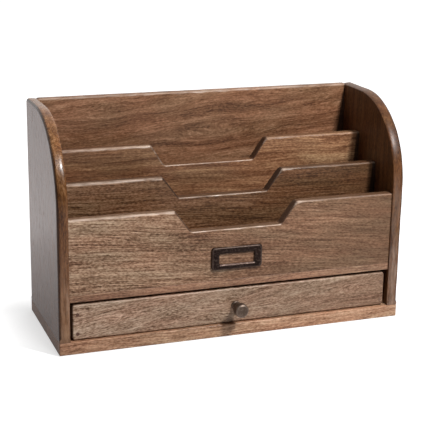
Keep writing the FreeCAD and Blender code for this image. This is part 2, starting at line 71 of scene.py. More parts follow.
class Finish:
    """Nodes of a material or of the room. An input that is a node's output is linked, others are set."""

    def __init__(self, owner):
        owner.use_nodes = True
        self.owner = owner
        self.tree = owner.node_tree

    def give(self, node, inputs):
        for socket, value in inputs.items():
            if isinstance(value, bpy.types.NodeSocket):
                self.tree.links.new(value, node.inputs[socket])
            else:
                node.inputs[socket].default_value = value

    def add(self, kind, inputs, **settings):
        node = self.tree.nodes.new("ShaderNode" + kind)
        for setting, value in settings.items():
            setattr(node, setting, value)
        self.give(node, inputs)
        return node

    def coat(self, inputs):
        """Gives the surface its looks and returns the material."""
        self.give(self.tree.nodes["Principled BSDF"], inputs)
        return self.owner

    def calc(self, operation, first, second=0.0, third=0.0):
        return self.add("Math", {0: first, 1: second, 2: third}, operation=operation).outputs[0]

    def times(self, first, second):
        return self.calc("MULTIPLY", first, second)

    def plus(self, total, layer, weight):
        """The total with a layer added to it at a weight."""
        return self.calc("MULTIPLY_ADD", layer, weight, total)

    def vector(self, operation, first, second):
        return self.add("VectorMath", {0: first, 1: second}, operation=operation).outputs[0]

    def dot(self, first, second):
        return self.add("VectorMath", {0: first, 1: second}, operation="DOT_PRODUCT").outputs["Value"]

    def spread(self, value, low, high, to_low=0.0, to_high=1.0):
        """Moves the range from low to high to another range, and holds the value inside that."""
        inputs = {"From Min": low, "From Max": high, "To Min": to_low, "To Max": to_high}
        return self.add("MapRange", {"Value": value, **inputs}).outputs[0]

    def noise(self, place, stretch, detail, output="Fac"):
        stretched = self.vector("MULTIPLY", place, stretch)
        inputs = {"Vector": stretched, "Scale": 1.0, "Detail": detail, "Roughness": 0.55}
        return self.add("TexNoise", inputs).outputs[output]

    def cloud(self, place, stretch, detail, low, high):
        """Noise whose levels low and high become 0 and 1."""
        return self.spread(self.noise(place, stretch, detail), low, high)

    def blend(self, factor, under, over, kind="MIX"):
        inputs = {0: factor, 6: under, 7: over}
        return self.add("Mix", inputs, data_type="RGBA", blend_type=kind).outputs[2]

    def ramp(self, value, stops):
        node = self.add("ValToRGB", {"Fac": value})
        steps = node.color_ramp.elements
        for place, _ in stops[2:]:
            steps.new(place)
        for step, (place, colour) in zip(steps, stops):
            step.position = place
            step.color = colour
        return node.outputs["Color"]


# Factors by which soaked end grain and pores, and the painted shade on the sides' outer arris, darken
# the dark tint, by which the painted shadow at a board's right-hand end darkens it further, by which the
# painted light on the crown lightens the colour, and between which its hue drifts
SOAK_AND_SHADE = (0.45, 0.42, 0.40, 1.0)
CORNER_SHADOW_TINT = (0.20, 0.19, 0.18, 1.0)
CROWN_LIGHT_GAIN = (2.3, 2.6, 3.0, 1.0)
REDDISH = (1.05, 0.98, 0.955, 1.0)
GREENISH = (0.96, 1.015, 1.015, 1.0)
# The tint of wood that is rubbed bare, also the colour of painted highlight and painted light, and its
# share where the stain is worn through and where that painted light lies
BARE_WOOD_AND_LIGHT = (0.90, 0.72, 0.59, 1.0)
BARE_AND_LIGHT_SHARE = 0.6
# How far the deepest and the brightest grain go past the dark and the light tint
OVERSHOOT = 0.6
HEART_HALF = 0.085
# The painted shadow at a board's right-hand end: the width of its soft border and how dark it is
CORNER_SHADOW_FADE = 0.0018
CORNER_SHADOW_DEPTH = 0.9


def stained_wood(name, tints, turn=(0.0, 0.0, 0.0), start=(0.0, 0.0, 0.0), end=(1.0, 0.0, 0.0),
                 sway=0.006, bands=0.30, streaks=0.30, flecks=0.6, figure=0.0, fall=0.0, calm=0.0,
                 heart=0.0, sawn=0.5, top=0.0, crown=0.0, corner=None, bare_and_light=BARE_WOOD_AND_LIGHT, gloss=0.36,
                 dents=0.30):
    """Hardwood under brown stain and satin lacquer, a solid pattern that every face cuts through.

    The log lies along X after the turn. Slow noise bends its fibres sideways by the sway, then noise
    stretched along the fibres gives bands, streaks, flecks and pores, each finer than the last, and
    rings about the log's axis give the figure. Their weighted sum picks the tint from dark to light.
    Along the end direction the tone rises by the fall for each metre and the contrast drops by the
    calm, and the middle is darker by the heart. The hue drifts slowly between reddish and greenish.

    Sawn ends take up more stain, and what faces up is made darker by the top. The crown is painted
    light: a paler colour on what faces up. The corner is a painted shadow, the shade that the right side
    casts as a dark strip at the right-hand end of a front face, whose border leans from one point
    (across, height) to another. Where rub is over 0 the colour goes pale in patches, worn bare wood and
    also painted highlight and painted light, and where it is under 0 it goes darker, which on the sides'
    outer arris is painted shade. Flecks and pores also dent and dull the lacquer.
    """
    wood = Finish(bpy.data.materials.new(name))
    dark, middle, light = np.array(tints)
    deep = dark * (dark / middle) ** OVERSHOOT
    bright = light * (light / middle) ** OVERSHOOT
    soak_and_shade = dark * SOAK_AND_SHADE
    place = wood.add("TexCoord", {}).outputs["Object"]
    turned = wood.add("Mapping", {"Vector": place, "Rotation": turn, "Location": start}).outputs[0]

    drift = wood.noise(turned, (7.0, 30.0, 30.0), 2.0, "Color")
    drift = wood.vector("SUBTRACT", drift, (0.5, 0.5, 0.5))
    drift = wood.vector("MULTIPLY", drift, (0.0, 4.0 * sway, 4.0 * sway))
    fibre = wood.vector("ADD", turned, drift)
    wide = wood.cloud(fibre, (3.0, 42.0, 42.0), 2.0, 0.30, 0.70)
    long = wood.cloud(fibre, (8.0, 190.0, 190.0), 2.0, 0.30, 0.70)
    lines = wood.cloud(fibre, (22.0, 780.0, 780.0), 3.0, 0.24, 0.76)
    specks = wood.cloud(fibre, (330.0, 900.0, 900.0), 2.0, 0.24, 0.76)
    pores = wood.cloud(fibre, (60.0, 1100.0, 1100.0), 1.0, 0.56, 0.72)
    swirl = {"Scale": 26.0, "Distortion": 5.0, "Detail": 3.0, "Detail Scale": 0.6}
    log = wood.add("TexWave", {"Vector": fibre, **swirl}, wave_type="RINGS", rings_direction="X")
    rings = log.outputs["Fac"]

    tone = 0.0
    fine_grain = ((lines, 1.5 * flecks), (specks, 1.4 * flecks))
    for layer, weight in ((wide, bands), (long, streaks), *fine_grain, (rings, figure)):
        tone = wood.plus(tone, wood.calc("SUBTRACT", layer, 0.5), weight)
    run = wood.dot(place, end)
    in_heart = wood.spread(wood.calc("ABSOLUTE", run), HEART_HALF, 0.0)
    level = wood.plus(wood.plus(0.5, run, fall), in_heart, -heart)
    tone = wood.plus(level, tone, wood.plus(1.0, run, -calm))
    stops = [(0.0, deep), (0.25, dark), (0.5, middle), (0.75, light), (1.0, bright)]
    colour = wood.ramp(wood.spread(tone, -0.5, 1.5), stops)
    hue = wood.blend(wood.cloud(turned, (14.0, 60.0, 60.0), 2.0, 0.35, 0.65), REDDISH, GREENISH)
    colour = wood.blend(1.0, colour, hue, "MULTIPLY")
    colour = wood.blend(wood.times(pores, 0.18), colour, soak_and_shade)

    normal = wood.add("NewGeometry", {}).outputs["Normal"]
    facing = wood.add("SeparateXYZ", {0: normal}).outputs
    end_grain = wood.spread(wood.calc("ABSOLUTE", wood.dot(normal, end)), 0.1, 0.5)
    colour = wood.blend(wood.times(end_grain, sawn), colour, soak_and_shade)
    # What faces up is made darker by the top
    colour = wood.blend(wood.times(wood.spread(facing["Z"], 0.55, 0.90), top), colour, dark)
    # Painted light: the crown of an arc is made paler where it faces up
    crown_lit_colour = wood.blend(1.0, colour, CROWN_LIGHT_GAIN, "MULTIPLY")
    colour = wood.blend(wood.times(wood.spread(facing["Z"], 0.15, 0.60), crown), colour, crown_lit_colour)
    # Painted shadow of the right side, a dark strip at the right-hand end of a front face
    if corner:
        (low_across, low_height), (high_across, high_height) = corner
        lean = (high_across - low_across) / (high_height - low_height)
        border = low_across - lean * low_height
        near_end = wood.spread(wood.dot(place, (1.0, 0.0, -lean)), border, border + CORNER_SHADOW_FADE)
        in_corner_shadow = wood.times(near_end, wood.spread(facing["Y"], 0.0, -0.5))
        colour = wood.blend(wood.times(in_corner_shadow, CORNER_SHADOW_DEPTH), colour, dark * CORNER_SHADOW_TINT)

    # Rub over 0 lays pale patches, worn stain together with painted highlight and painted light; under 0
    # it darkens, which on the sides' outer arris is painted shade
    rub = wood.add("Attribute", {}, attribute_name="rub").outputs["Fac"]
    colour = wood.blend(wood.calc("MAXIMUM", wood.times(rub, -1.0), 0.0), colour, soak_and_shade)
    edge = wood.calc("MAXIMUM", rub, 0.0)
    patchy = wood.cloud(turned, (60.0, 300.0, 300.0), 3.0, 0.36, 0.64)
    worn = wood.times(edge, wood.plus(0.2, patchy, 0.8))
    colour = wood.blend(worn, colour, light * (1.0 - BARE_AND_LIGHT_SHARE) + np.array(bare_and_light) * BARE_AND_LIGHT_SHARE)

    roughness = gloss - 0.05
    unworn = wood.calc("SUBTRACT", edge, worn)
    dulling = ((pores, 0.18), (lines, 0.10), (end_grain, 0.25 * sawn), (unworn, 0.5), (worn, -0.14))
    for layer, weight in dulling:
        roughness = wood.plus(roughness, layer, weight)
    relief = 0.0
    for layer, weight in ((lines, 0.5), (specks, 0.5), (pores, -0.8)):
        relief = wood.plus(relief, layer, weight)
    bump = wood.add("Bump", {"Height": relief, "Strength": dents, "Distance": 0.0003}).outputs[0]
    return wood.coat({
        "Base Color": colour, "Roughness": roughness, "Normal": bump, "Specular IOR Level": 0.3,
    })


def dress(node, material):
    """Gives a CAD node that keeps its own shape a finish."""
    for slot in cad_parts[node].material_slots:
        slot.material = material


base_wood = stained_wood(
    "base_wood", (stain(122, 85, 62), stain(181, 138, 108), stain(218, 180, 149)),
    turn=(0.3, 0.01, 0.0), start=(0.31, 0.12, 0.05), fall=1.1, sawn=0.25, gloss=0.27, dents=0.08,
)
dress("base_board", base_wood)


# Side panels
# Two boards with the grain upright, sawn to a large quarter round at the upper front corner and
# sanded round along every open edge. Grooves on the inside take the ends of the cross boards.

def rounded_outline(corners, radii, step=0.002, per_run=None, per_arc=None):
    """Closed outline of straight runs joined by tangent arcs, counter-clockwise.

    The arc of radius r at a corner starts r * tan(turn / 2) before it, and its outward normal turns
    evenly from the normal of the run before to that of the run after. Returns points and normals.
    """
    corners = np.array(corners, float)
    radii = np.array(radii, float)
    runs = np.roll(corners, -1, axis=0) - corners
    ways = runs / np.linalg.norm(runs, axis=1)[:, None]
    headings = np.arctan2(ways[:, 1], ways[:, 0])
    turns = (headings - np.roll(headings, 1) + math.pi) % (2 * math.pi) - math.pi
    reach = radii * np.tan(np.abs(turns) / 2)
    points = []
    normals = []
    for i in range(len(corners)):
        following = (i + 1) % len(corners)
        arc_count = per_arc or max(9, int(radii[i] * abs(turns[i]) / step))
        angles = headings[i - 1] - math.pi / 2 + turns[i] * np.linspace(0.0, 1.0, arc_count)
        arc_normals = np.stack([np.cos(angles), np.sin(angles)], axis=1)
        arc_start = corners[i] - ways[i - 1] * reach[i]
        swing = math.copysign(radii[i], turns[i])
        points.append(arc_start + swing * (arc_normals - arc_normals[0]))
        normals.append(arc_normals)
        run_start = corners[i] + ways[i] * reach[i]
        run_end = corners[following] - ways[i] * reach[following]
        run_count = per_run or int(np.linalg.norm(run_end - run_start) / step)
        part = np.linspace(0.0, 1.0, run_count + 2)[1:-1, None]
        points.append(run_start + part * (run_end - run_start))
        normals.append(np.repeat(arc_normals[-1:], run_count, axis=0))
    return np.concatenate(points), np.concatenate(normals)


def hand_eased(points, radius, seed):
    """Radius of a sanded arris along a closed outline: two slow waves and a few small knocks.

    The waves are sines with whole numbers of cycles round the outline, and each knock is a bell
    curve a few millimetres wide that takes the edge down further.
    """
    slow_wave, quick_wave, knock_spacing, knock_limit = 0.07, 0.026, 0.05, 0.35
    chance = np.random.default_rng(seed)
    steps = np.linalg.norm(np.roll(points, -1, axis=0) - points, axis=1)
    whole = steps.sum()
    travel = (np.cumsum(steps) - steps) / whole
    slow = np.sin(2 * math.pi * (round(whole / slow_wave) * travel + chance.random()))
    quick = np.sin(2 * math.pi * (round(whole / quick_wave) * travel + chance.random()))
    knocks = chance.random(int(whole / knock_spacing))
    away = ((travel[:, None] - knocks + 0.5) % 1.0 - 0.5) * whole
    width = chance.uniform(0.0015, 0.005, len(knocks))
    depth = chance.uniform(0.05, knock_limit, len(knocks))
    worn = (depth * np.exp(-(away / width) ** 2)).sum(axis=1)
    return radius * (1.0 + 0.07 * slow + 0.05 * quick + np.minimum(worn, knock_limit))


def grid_mesh(name, rings, ring_normals, rub, caps=True, closed=False):
    """A mesh of rings (first axis) of points (second axis), each ring a closed loop.

    Neighbouring rings are joined by quads. The first and last ring are closed by flat caps, or joined
    to each other if closed. The normals are those of the formula, where it gives any, and rub is kept
    for the finish.
    """
    count, around = rings.shape[:2]
    index = np.arange(count * around).reshape(count, around)
    nearer = index if closed else index[:-1]
    deeper = np.roll(index, -1, axis=0) if closed else index[1:]
    quads = np.stack(
        [nearer, deeper, np.roll(deeper, -1, axis=1), np.roll(nearer, -1, axis=1)], axis=-1
    )
    faces = quads.reshape(-1, 4).tolist()
    if caps:
        faces.append(index[0].tolist())
        faces.append(index[-1][::-1].tolist())
    mesh = bpy.data.meshes.new(name)
    mesh.from_pydata(rings.reshape(-1, 3), [], faces, shade_flat=False)
    if ring_normals is not None:
        mesh.normals_split_custom_set_from_vertices(ring_normals.reshape(-1, 3))
    worn = mesh.attributes.new("rub", "FLOAT", "POINT")
    worn.data.foreach_set("value", np.broadcast_to(rub, (count, around)).astype(np.float32).ravel())
    piece = bpy.data.objects.new(name, mesh)
    bpy.context.scene.collection.objects.link(piece)
    return piece


def eased_board(name, outline, ease, far_ease, origin, along, up, thickness, wear_and_painted_light, flat_painted_light=0.0,
                reach=1.0):
    """A flat board of any outline with a quarter round along both arrises.

    With angle a from 0 to 90 degrees, a ring of the near arris lies ease * (1 - sin a) inside the
    outline and ease * (1 - cos a) below the near face. The far arris is the same from the far face,
    or a quarter of an ellipse that goes on for reach times as far along the edge. The normal turns
    with a from the face to the outline's own normal. Rub is wear_and_painted_light times the square
    of sin 2a, strongest halfway round the near arris, and flat_painted_light times the cube of sin a.
    The first carries real wear, painted highlight and painted shade, each on its own boards, and the
    second painted light on the sides' edges.
    """
    points, normals = outline
    along = np.array(along, float)
    up = np.array(up, float)
    face = np.cross(along, up)
    angle = np.linspace(0.0, math.pi / 2, 8)[:, None]
    back = angle[::-1]
    inset = np.concatenate([ease * (1 - np.sin(angle)), far_ease * (1 - np.sin(back))])
    far_depth = thickness - reach * far_ease * (1 - np.cos(back))
    depth = np.concatenate([ease * (1 - np.cos(angle)), far_depth])
    flat = points - inset[..., None] * normals
    rings = np.array(origin) + flat[..., :1] * along + flat[..., 1:] * up - depth[..., None] * face
    outward = normals[:, :1] * along + normals[:, 1:] * up
    every_point = np.ones(len(points))
    slant = np.hypot(np.cos(back), reach * every_point * np.sin(back))
    to_face = np.concatenate([np.cos(angle) * every_point, -np.cos(back) / slant])[..., None]
    to_edge = np.concatenate([np.sin(angle) * every_point, reach * np.sin(back) / slant])[..., None]
    rub = np.concatenate([np.sin(2 * angle) ** 2, 0 * back]) * wear_and_painted_light + to_edge[..., 0] ** 3 * flat_painted_light
    return grid_mesh(name, rings, to_face * face + to_edge * outward, rub)


def finish_piece(piece, material, node, body):
    """Gives a new piece its finish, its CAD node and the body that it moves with."""
    piece.data.materials.append(material)
    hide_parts(node)
    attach(piece, body)


SIDE_ROUND = 0.084
FOOT_BEND = 0.0006
TOP_BEND = 0.0045
SIDE_EASE = 0.0028
INNER_EASE = 0.0017
INNER_REACH = 4.2
LEAST_FLAT = 0.0002
SEAT_BAND = 0.003
SEAT_EASE = 0.0004
# Painted shade: each side's outer arris is darkened, where it turns away from the light
OUTER_ARRIS_SHADE = -0.8
FOOT_MIDDLE = 0.040
FOOT_SPREAD = 0.042
ARC_START = 0.165
ARC_FADE = 0.03
# Painted light on the crown of the left side's arc
CROWN_LIGHT = 0.2
side_tints = (stain(58, 30, 12), stain(99, 61, 31), stain(134, 92, 58))
# Each side has its hand, the painted light from the floor on its edge near the foot, the painted sheen on
# its edge all along below the arc, and its look, where the crown is painted light on the arc and
# bare_and_light is the colour of that painted light
side_panels = (
    ("left_side", -1, 0.62, 0.0, dict(crown=1.0, gloss=0.21, bare_and_light=(0.74, 0.47, 0.31, 1.0))),
    ("right_side", 1, 0.30, 0.15, dict(crown=0.0, gloss=0.33)),
)
for node, hand, foot_light, edge_sheen, look in side_panels:
    low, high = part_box(node)
    front, rear = hand * low[1], hand * high[1]
    upright = [(front, low[2]), (rear, low[2]), (rear, high[2]), (front, high[2])]
    bends = [FOOT_BEND, FOOT_BEND, TOP_BEND, SIDE_ROUND]
    if hand < 0:
        upright = [upright[i] for i in (1, 0, 3, 2)]
        bends = [bends[i] for i in (1, 0, 3, 2)]
    outline = rounded_outline(upright, bends)
    points, normals = outline
    tall = points[:, 1]
    on_base = tall < low[2] + SEAT_BAND
    ease = np.minimum(hand_eased(points, SIDE_EASE, 11 + hand), 1.1 * SIDE_EASE)
    ease = np.where(on_base, SEAT_EASE, ease)
    room_left = (high[0] - low[0] - ease - LEAST_FLAT) / INNER_REACH
    inner_ease = np.minimum(hand_eased(points, INNER_EASE, 15 + hand), room_left)
    inner_ease = np.where(on_base, SEAT_EASE, inner_ease)
    # Painted light on each side's edge: floor light near the foot, a painted sheen below the arc, and the
    # crown
    near_foot = np.exp(-((tall - FOOT_MIDDLE) / FOOT_SPREAD) ** 2)
    below_arc = np.clip((ARC_START - tall) / ARC_FADE, 0.0, 1.0)
    on_crown = np.clip(normals[:, 1] * 8 - 7, 0.0, 1.0)
    flat_painted_light = edge_sheen * below_arc + foot_light * near_foot + CROWN_LIGHT * look["crown"] * on_crown
    outer = (high[0] if hand > 0 else low[0], 0.0, 0.0)
    side = eased_board(
        node + "_board", outline, ease, inner_ease, outer, (0.0, hand, 0.0), (0.0, 0.0, 1.0),
        high[0] - low[0], OUTER_ARRIS_SHADE, flat_painted_light, np.where(on_base, 1.0, INNER_REACH),
    )
    side_wood = stained_wood(
        node + "_wood", side_tints,
        turn=(0.0, math.radians(90.0), math.radians(1.5 * hand)), start=(0.2 + 0.3 * hand, 0.04, 0.02),
        end=(0.0, 0.0, 1.0), sway=0.005, streaks=0.5, flecks=0.5, sawn=0.15, dents=0.04, **look,
    )
    finish_piece(side, side_wood, node, "carcass")


# Back panel
# A plain board with long level grain that rises slightly to the right. It is let into rebates at
# the rear of the two sides and screwed up through the base; only its top edge is rubbed pale.

BACK_EASE = 0.0028
BACK_BEND = 0.0045
BACK_TOP_WEAR = 0.6
REBATE_SLACK = 0.0003
low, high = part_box("back_panel")
panel = [(low[0], low[2]), (high[0], low[2]), (high[0], high[2]), (low[0], high[2])]
outline = rounded_outline(panel, [BACK_BEND] * 4)
points, normals = outline
ease = np.where(points[:, 1] < low[2] + SEAT_BAND, SEAT_EASE, hand_eased(points, BACK_EASE, 21))
back_panel = eased_board(
    "back_panel_board", outline, ease, ease, (0.0, low[1], 0.0), (1.0, 0.0, 0.0), (0.0, 0.0, 1.0),
    high[1] - low[1] - REBATE_SLACK, BACK_TOP_WEAR * (normals[:, 1] > 0.9),
)
back_wood = stained_wood(
    "back_wood", (stain(88, 56, 37), stain(134, 95, 68), stain(174, 132, 103)),
    turn=(0.0, math.radians(4.5), 0.0), start=(0.1, 0.06, 0.03),
    sway=0.008, bands=0.45, streaks=0.40, flecks=0.5, figure=0.18,
    # The corner is a painted shadow that the right side casts on the back panel, wider lower down
    corner=((0.1598, 0.179), (0.1655, 0.222)),
)
finish_piece(back_panel, back_wood, "back_panel", "carcass")


# Drawer shelf
# A thin board housed in the sides over the drawer. It is the floor of the letter slots, and its
# front edge shows as a pale strip under the front panel.

shelf_wood = stained_wood(
    "shelf_wood", (stain(104, 72, 54), stain(152, 114, 90), stain(190, 150, 122)),
    turn=(0.2, 0.008, 0.0), start=(0.7, 0.21, 0.11),
)
dress("drawer_shelf", shelf_wood)


# Front panel and dividers
# Three boards that rise in steps between the sides, glued into grooves. Each has a wide notch with
# sloping ends sawn by hand from its top edge, so that letters can be gripped. The tops are well
# rounded and pale, partly worn and partly a painted highlight, more so on the left and round the
# right mouths, the middle and rear boards carry a painted shadow at their right-hand ends, and the
# sawn faces of the notches are dark.

NOTCH_DEPTH = 0.022
NOTCH_BEND = 0.004
LEFT_TOP_EASE = 0.00325
RIGHT_TOP_EASE = 0.00221
LEFT_SLOPE_EASE = 0.0022
RIGHT_SLOPE_EASE = 0.0014
FLOOR_EASE = 0.0014
MOUTH_EASE = 0.0012
MOUTH_SPREAD = 0.0045
MOUTH_HIGHLIGHT_SPREAD = 0.006
EASE_LIMIT = 0.0036
SHELF_EASE = 0.0003
# Pale tops are worn stain with a painted highlight, fainter on the right; the right slope and mouth get a
# painted highlight only
TOP_WEAR_AND_HIGHLIGHT = 0.95
RIGHT_TOP_WEAR_AND_HIGHLIGHT = 0.3
RIGHT_SLOPE_HIGHLIGHT = 0.8
# Each board has the seed of its sanding, the corners of its notch (left mouth, left floor, right floor,
# right mouth), how much paler the edge of its left slope is, darker if under 0, and its look, whose
# corner is a painted shadow that the right side casts
notched_boards = (
    ("front_panel", 31, (-0.0628, -0.0465, 0.0463, 0.0626), 0.0, dict(
        tints=(stain(88, 59, 40), stain(142, 108, 83), stain(184, 151, 124)),
        turn=(0.0, math.radians(-5.0), 0.0), start=(0.4, 0.31, 0.17), sway=0.003,
        bands=0.18, streaks=0.26, flecks=0.65, fall=-1.5, calm=3.0, heart=0.13, sawn=0.85, top=0.5)),
    ("middle_divider", 32, (-0.0628, -0.0465, 0.0465, 0.0628), -0.5, dict(
        tints=(stain(68, 43, 27), stain(108, 75, 50), stain(140, 105, 78)),
        turn=(0.0, math.radians(-2.0), 0.0), start=(0.9, 0.17, 0.41), sway=0.0025,
        bands=0.15, streaks=0.25, flecks=0.75, fall=-1.1, calm=2.0, sawn=0.85, top=0.5,
        corner=((0.1612, 0.132), (0.1632, 0.1555)))),
    ("rear_divider", 33, (-0.0628, -0.0490, 0.0463, 0.0611), 0.45, dict(
        tints=(stain(84, 52, 33), stain(130, 91, 64), stain(175, 134, 99)),
        turn=(0.0, math.radians(-0.5), 0.0), start=(1.3, 0.44, 0.27), sway=0.004,
        bands=0.25, streaks=0.50, flecks=0.5, figure=0.10, fall=1.2, calm=-1.2, sawn=0.85, top=0.3,
        corner=((0.1614, 0.1555), (0.1634, 0.179)))),
)
for node, seed, notch, left_slope_tone, look in notched_boards:
    low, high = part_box(node)
    left_mouth, left_floor, right_floor, right_mouth = notch
    floor = high[2] - NOTCH_DEPTH
    corners = [
        (low[0], low[2]), (high[0], low[2]), (high[0], high[2]), (right_mouth, high[2]),
        (right_floor, floor), (left_floor, floor), (left_mouth, high[2]), (low[0], high[2]),
    ]
    outline = rounded_outline(corners, [NOTCH_BEND] * len(corners))
    points, normals = outline
    across, tall = points.T
    on_left = across < 0.0
    # How far the edge faces up, then 1 where it is level and 0 where it slopes, and the other way round
    rise = np.clip(normals[:, 1], 0.0, 1.0)
    level = np.clip((rise - 0.65) / 0.3, 0.0, 1.0)
    on_slope = (rise > 0.3) * (1.0 - level)
    up_slope = np.clip((tall - floor) / NOTCH_DEPTH, 0.0, 1.0)
    from_mouth = np.hypot(across - np.where(on_left, left_mouth, right_mouth), tall - high[2])

    top_ease = np.where(on_left, LEFT_TOP_EASE, RIGHT_TOP_EASE)
    level_ease = hand_eased(points, FLOOR_EASE + (top_ease - FLOOR_EASE) * up_slope, seed)
    slope_ease = np.where(on_left, LEFT_SLOPE_EASE, RIGHT_SLOPE_EASE)
    ease = slope_ease + (level_ease - slope_ease) * level
    ease = np.minimum(ease + MOUTH_EASE * np.exp(-(from_mouth / MOUTH_SPREAD) ** 2), EASE_LIMIT)
    ease = np.where(tall < low[2] + SEAT_BAND, SHELF_EASE, ease)

    # Pale along the top from wear and painted highlight, a painted highlight round the right mouth and up
    # the right slope, and the left slope paler or darker by its tone
    mouth_highlight = (1.0 - RIGHT_TOP_WEAR_AND_HIGHLIGHT) * np.exp(-(from_mouth / MOUTH_HIGHLIGHT_SPREAD) ** 2)
    top_wear_and_highlight = np.where(across > right_floor, RIGHT_TOP_WEAR_AND_HIGHLIGHT + mouth_highlight, TOP_WEAR_AND_HIGHLIGHT)
    slope_tone_and_highlight = np.where(on_left, left_slope_tone, RIGHT_SLOPE_HIGHLIGHT * up_slope ** 3)
    wear_and_painted_light = top_wear_and_highlight * rise ** 3 * level + slope_tone_and_highlight * on_slope
    board = eased_board(
        node + "_board", outline, ease, ease, (0.0, low[1], 0.0), (1.0, 0.0, 0.0), (0.0, 0.0, 1.0),
        high[1] - low[1], wear_and_painted_light,
    )
    finish_piece(board, stained_wood(node + "_wood", **look), node, "carcass")


# Card frame
# A small cast frame in dark bronze for a name card, with rounded edges and a bevel round its
# window. Two pins on its back hold it to the front panel, and the card slides in from the top.

def dark_bronze(name, colour, worn, gloss):
    """Cast metal with a brown patina: cloudy and blotched, finely pitted, paler where it is rubbed."""
    metal = Finish(bpy.data.materials.new(name))
    place = metal.add("TexCoord", {}).outputs["Object"]
    clouds = metal.cloud(place, (160.0, 160.0, 160.0), 3.0, 0.30, 0.70)
    blots = metal.cloud(place, (480.0, 480.0, 480.0), 2.0, 0.50, 0.62)
    pits = metal.noise(place, (1500.0, 1500.0, 1500.0), 2.0)
    tone = metal.blend(clouds, np.array(colour) * (0.55, 0.52, 0.50, 1.0), colour)
    tone = metal.blend(metal.times(blots, 0.35), tone, worn)
    rub = metal.add("Attribute", {}, attribute_name="rub").outputs["Fac"]
    tone = metal.blend(metal.times(rub, metal.plus(0.3, clouds, 0.6)), tone, worn)
    roughness = metal.plus(gloss, clouds, 0.14)
    bump = metal.add("Bump", {"Height": pits, "Strength": 0.25, "Distance": 0.0002}).outputs[0]
    return metal.coat({"Base Color": tone, "Roughness": roughness, "Normal": bump, "Metallic": 0.85})


FRAME_BEND = 0.0029
WINDOW_BEND = 0.0019
WINDOW_HALF = 0.01825
WINDOW_LOW = 0.07485
WINDOW_HIGH = 0.08565
CARD_HALF = 0.0205
CARD_SLOT = 0.00076
# The bar's cross-section in millimetres, across from the outer edge and up from the panel
BAR_WIDTH = 6.5
bar_section = [
    (0.0, 0.0), (4.6, 0.0), (4.6, 0.8), (BAR_WIDTH, 0.8), (BAR_WIDTH, 1.5), (4.8, 2.7), (2.6, 3.0),
    (0.5, 2.4), (0.0, 1.3),
]
bar_bends = [0.1, 0.1, 0.1, 0.25, 0.4, 1.2, 1.6, 0.8, 0.5]


def card_frame(name, low, high):
    """A rounded cross-section carried round between the frame's outer outline and its window.

    A point of the section at w across the bar and h above the panel lies w / width of the way from
    the outer outline to the window's, and h forward of the panel. Over the card's width, the back of
    the upper bar is lifted by the card's slot.
    """
    loop, loop_normals = rounded_outline(bar_section, bar_bends, per_run=3, per_arc=7)
    across, height = loop[:, 0] / BAR_WIDTH, loop[:, 1] / 1000.0
    outer_corners = [(low[0], low[2]), (high[0], low[2]), (high[0], high[2]), (low[0], high[2])]
    inner_corners = [
        (-WINDOW_HALF, WINDOW_LOW), (WINDOW_HALF, WINDOW_LOW),
        (WINDOW_HALF, WINDOW_HIGH), (-WINDOW_HALF, WINDOW_HIGH),
    ]
    outer, normals = rounded_outline(outer_corners, [FRAME_BEND] * 4, per_run=24, per_arc=9)
    inner, _ = rounded_outline(inner_corners, [WINDOW_BEND] * 4, per_run=24, per_arc=9)
    flat = outer + across[:, None, None] * (inner - outer)
    lift = np.broadcast_to(height[:, None], flat.shape[:2])
    over_card = (np.abs(outer[:, 0]) < CARD_HALF) & (normals[:, 1] > 0.9)
    lift = np.where(over_card, np.maximum(lift, CARD_SLOT + 0.05 * lift), lift)
    rings = np.stack([flat[..., 0], high[1] - lift, flat[..., 1]], axis=-1)
    sideways = -loop_normals[:, :1] * np.ones((1, len(outer)))
    forward = loop_normals[:, 1:] * np.ones((1, len(outer)))
    ring_normals = np.stack([sideways * normals[:, 0], -forward, sideways * normals[:, 1]], axis=-1)
    outer_rub = np.exp(-((loop[:, 0] - 0.6) / 0.7) ** 2)
    bevel_rub = 0.25 * np.exp(-((loop[:, 0] - 5.4) / 0.6) ** 2)
    rub = np.where(loop[:, 1] > 1.5, outer_rub + bevel_rub, 0.0)[:, None]
    return grid_mesh(name, rings, ring_normals, rub, caps=False, closed=True)


low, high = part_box("label_frame")
frame_bronze = dark_bronze("frame_bronze", stain(44, 30, 25), stain(104, 88, 80), 0.36)
finish_piece(card_frame("card_frame", low, high), frame_bronze, "label_frame", "carcass")


# Pins and screws of the carcass
# Two pins behind the card frame, and countersunk wood screws with zinc plating that come up through
# the base into the sides and the back panel.

def zinc_steel(name, colour, gloss):
    """Plated steel: grey with a faint cloudy bloom, and fine turning marks that catch the light."""
    metal = Finish(bpy.data.materials.new(name))
    place = metal.add("TexCoord", {}).outputs["Object"]
    bloom = metal.cloud(place, (300.0, 300.0, 300.0), 3.0, 0.30, 0.70)
    marks = metal.noise(place, (900.0, 900.0, 5000.0), 1.0)
    tone = metal.blend(bloom, np.array(colour) * (0.60, 0.60, 0.58, 1.0), colour)
    roughness = metal.plus(gloss, bloom, 0.15)
    bump = metal.add("Bump", {"Height": marks, "Strength": 0.2, "Distance": 0.0001}).outputs[0]
    return metal.coat({"Base Color": tone, "Roughness": roughness, "Normal": bump, "Metallic": 1.0})


fixing_steel = zinc_steel("fixing_steel", stain(186, 184, 178), 0.28)
dress("label_frame_pins", fixing_steel)
dress("side_screws", fixing_steel)
dress("back_screws", fixing_steel)


# Drawer front
# A board with a swirling figure, cut to clear the opening by a hair all round and planed a little
# short at its right end, with its front edges rounded. It laps the ends of the drawer's sides and is
# nailed to them.

